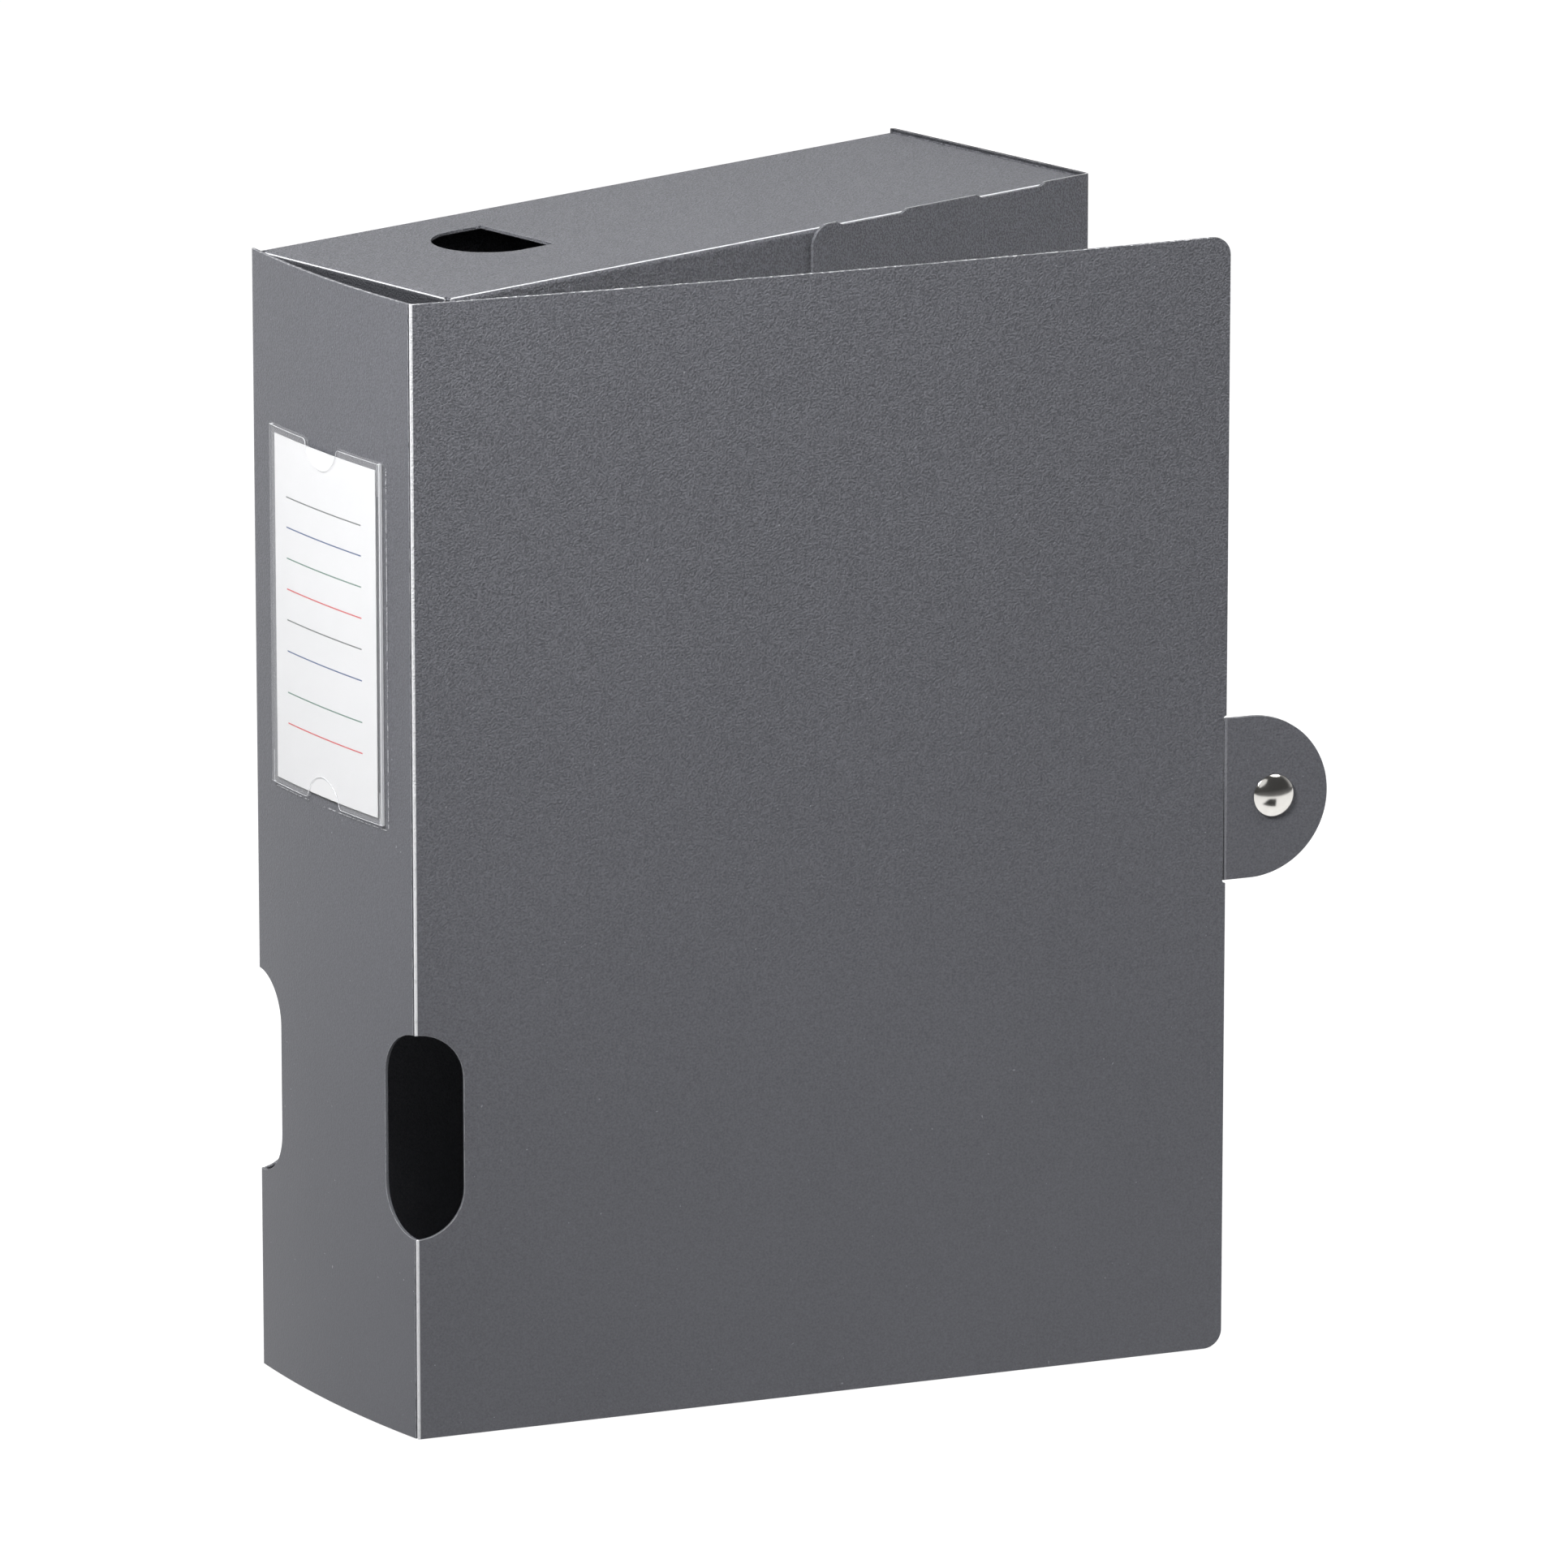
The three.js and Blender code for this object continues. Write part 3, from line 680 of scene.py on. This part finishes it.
def film_finish():
    graph = Graph("clear film", Base_Color=srgb(246, 247, 250))
    local = graph.panel(spine_frame)
    _, y, z = graph.axes(local)
    along = 0 - y
    ripple = graph.noise(local, 9 * MM, 2.0, 0.5)
    flecks = graph.rise(graph.noise(local, 1.4 * MM, 2.0, 0.6), 0.42, 0.56)
    sleeve = graph.rise(z, POCKET_BOTTOM - LINE_FADE, POCKET_BOTTOM)
    sleeve = sleeve * (1 - graph.rise(along, POCKET_TO, POCKET_TO + LINE_FADE))
    weld = graph.band(along, POCKET_TO - 0.14 * MM, 0.15 * MM, LINE_FADE) * graph.attribute("outer") * 0.85
    weld = weld.high(graph.band(along, POCKET_FROM + 0.5 * MM, 0.3 * MM, 0.3 * MM) * 0.12)
    trimmed = graph.band(along, BACKING_SIDE, 0.12 * MM, LINE_FADE)
    trimmed = trimmed.high(graph.band(z, BACKING_FOOT, 0.12 * MM, LINE_FADE))
    ends = 1 - graph.band(z, (POCKET_BOTTOM + POCKET_TOP) / 2, BARE_HALF, 0.5 * MM)
    # painted sheen: a faint white over the sleeve; painted highlight: the cut edges nearly opaque white
    alpha = 0.012 + sleeve * (0.05 + ripple * 0.015)
    alpha = alpha.high(weld * sleeve).high(trimmed * flecks * 0.35)
    graph.feed("Alpha", alpha.high(graph.attribute("edge") * (0.03 + ends * sleeve * 0.92)))
    graph.feed("Roughness", 0.18 + ripple * 0.08)
    graph.feed("Normal", graph.bump(ripple, 0.1 * MM, 0.2))
    return graph.owner


def mark_sleeve(work):
    mesh = nodes["spine"].data
    points = [vert.co for vert in mesh.vertices]
    skin = BVHTree.FromPolygons(points, [face.vertices for face in mesh.polygons])
    gaps = [skin.find_nearest(face.calc_center_median())[3] for face in work.faces]
    edge = work.faces.layers.float["edge"]
    outer = work.faces.layers.float.new("outer")
    for face, gap in zip(work.faces, gaps):
        face[outer] = float(gap > max(gaps) * 0.6)
        face[edge] = max(face[edge], float(abs(face.normal.z) > 0.5)) * (0.1 + face[outer] * 0.9)
    print("film stands", round(max(gaps) / MM, 2), "mm off the spine")


pocket = fine_copy("label_pocket", "film_pocket", FILM_EDGE, reshape=mark_sleeve)
wear(pocket, film_finish(), "spine", "film", "label_pocket")

# %% [markdown]
# The table is a wide pale floor. The camera sees it as white, because it glows for camera rays only,
# and the soft shadow under the file stays, because only part of its brightness is its own. Mirrored
# rays see it glow too, but only as far as a front edge, beyond which the dim room lies. So the stud's
# dome mirrors a table that ends, and not an endless white plain.

# %% Floor
FLOOR_GREY = (0.22, 0.22, 0.22, 1)
FLOOR_GLOW = 0.95
FLOOR_LEVEL = -0.3 * MM
TABLE_EDGE = -0.76
BEYOND_EDGE = 0.05


def floor_finish():
    graph = Graph("pale floor", Base_Color=FLOOR_GREY, Roughness=0.9, Specular_IOR_Level=0.0)
    rays = graph.add("ShaderNodeLightPath", {}, {})
    _, y, _ = graph.axes(graph.place())
    table = graph.rise(y, TABLE_EDGE - 0.1, TABLE_EDGE) * (1 - BEYOND_EDGE) + BEYOND_EDGE
    mirrored = rays.out("Is Glossy Ray") * table
    seen = rays.out("Is Camera Ray").high(rays.out("Is Transmission Ray")).high(mirrored)
    graph.feed("Emission Color", (1, 1, 1, 1))
    graph.feed("Emission Strength", seen * FLOOR_GLOW)
    return graph.owner


bpy.ops.mesh.primitive_plane_add(size=24, location=(0, 0, FLOOR_LEVEL))
floor = bpy.context.object
floor.name = "table"
floor.data.materials.append(floor_finish())
print("table's mirrored edge lies at y =", TABLE_EDGE)

# %% [markdown]
# A chrome dome in an all-white room looks like paper. A photographer lays a dark card on the table, and
# its reflection gives the plating its dark spot. This one is small, and it is hidden from the camera,
# from diffuse rays and from shadows, so that it changes the reflections and nothing else.

# %% Dark card for the reflections
CARD_PLACE = (0.05, -0.47, 0.0)
CARD_SIZE = (0.17, 0.26, 1)
CARD_BLACK = (0.02, 0.02, 0.02, 1)
bpy.ops.mesh.primitive_plane_add(size=1, location=CARD_PLACE)
dark_card = bpy.context.object
dark_card.name = "dark_card"
dark_card.scale = CARD_SIZE
dark_card.visible_camera = False
dark_card.visible_diffuse = False
dark_card.visible_shadow = False
dark_card.data.materials.append(Graph("black card", Base_Color=CARD_BLACK, Roughness=0.8).owner)
print("dark card is", CARD_SIZE[0], "by", CARD_SIZE[1], "m")

# %% [markdown]
# Four soft lamps light the file. The key lamp stands above its front left corner, and the side lamp
# stands off the spine. Both point a little above the file and spread narrowly, so that their light
# fades down the cover and down the spine. The overhead lamp fills the fore edge, the lip and the top,
# and the back lamp skims the top panel from behind, which shows its grain.

# %% Lamps
def lamp(name, place, target, size, power, spread=180):
    data = bpy.data.lights.new(name, "AREA")
    data.shape = "DISK"
    data.size = size
    data.energy = power
    data.spread = math.radians(spread)
    holder = bpy.data.objects.new(name, data)
    bpy.context.scene.collection.objects.link(holder)
    holder.location = place
    direction = Vector(target) - Vector(place)
    holder.rotation_euler = direction.to_track_quat("-Z", "Y").to_euler()
    print("lamp", name, "gives", power, "W from", round(direction.length, 2), "m")


lamp("key", place=(-1.06, -0.38, 1.2), target=(-0.14, -0.04, 0.48), size=0.5, power=2.65, spread=56)
lamp("side", place=(-1.4, 0.7, 1.3), target=(-0.13, 0.02, 0.52), size=0.5, power=0.7, spread=52)
lamp("overhead", place=(0.5, -0.8, 1.4), target=(0.12, -0.05, 0.3), size=0.8, power=8.8)
lamp("back", place=(1.4, 2.6, 1.9), target=(0, 0, 0.25), size=1.6, power=10)

# %% [markdown]
# The world fills the shadows and is what the nickel mirrors: a bright window above the camera, a pale
# backdrop behind the file, and a dim room all round, which the dome mirrors as dark. A photographed
# studio would need an image file, and a few smooth steps on the direction do as well. The backdrop is
# weaker overhead and towards the far left.

# %% Studio world
WINDOW_LIGHT, WINDOW_RIM = 0.8, (0.945, 0.965)
BACKDROP_LIGHT, BACKDROP_RIM = 0.42, (-0.25, 0.35)
OVERHEAD_LOSS, OVERHEAD_RIM = 0.2, (0.4, 0.8)
LEFT_SHARE, LEFT_RIM = 0.12, (-0.7, 0.1)
ROOM_LIGHT = 0.06


def studio_world():
    world = bpy.data.worlds.new("studio")
    bpy.context.scene.world = world
    graph = Graph(world, "ShaderNodeBackground", "ShaderNodeOutputWorld", Color=(1, 1, 1, 1))
    x, y, z = graph.axes(graph.add("ShaderNodeTexCoord", {}, {}).out("Generated"))
    away_from_camera = x * 0.67 + y * 0.74
    towards_window = z * 0.53 - x * 0.58 - y * 0.62
    window = graph.rise(towards_window, *WINDOW_RIM)
    backdrop = graph.rise(away_from_camera, *BACKDROP_RIM)
    backdrop = backdrop * (BACKDROP_LIGHT - graph.rise(z, *OVERHEAD_RIM) * OVERHEAD_LOSS)
    backdrop = backdrop * (LEFT_SHARE + graph.rise(x, *LEFT_RIM) * (1 - LEFT_SHARE))
    graph.feed("Strength", window * WINDOW_LIGHT + backdrop + ROOM_LIGHT)
    print("world:", world.name)


studio_world()

# %% [markdown]
# The photograph was taken with a long lens from slightly above, level with no lens shift. The numbers
# come from fitting the camera to the corners and creases of the file.

# %% Camera
LENS, SENSOR = 298.137, 36
CAMERA_PLACE = (-2.3968, -2.7330, 1.1274)
CAMERA_TILT, CAMERA_TURN = 14.903, 41.737
camera_data = bpy.data.cameras.new("view")
camera_data.sensor_width = SENSOR
camera_data.lens = LENS
camera_data.clip_end = 100
camera = bpy.data.objects.new("view", camera_data)
bpy.context.scene.collection.objects.link(camera)
camera.location = CAMERA_PLACE
camera.rotation_euler = (math.radians(90 - CAMERA_TILT), 0, -math.radians(CAMERA_TURN))
bpy.context.scene.camera = camera
bpy.context.scene.view_settings.view_transform = "Standard"
print("camera stands", round(Vector(CAMERA_PLACE).length, 2), "m off")
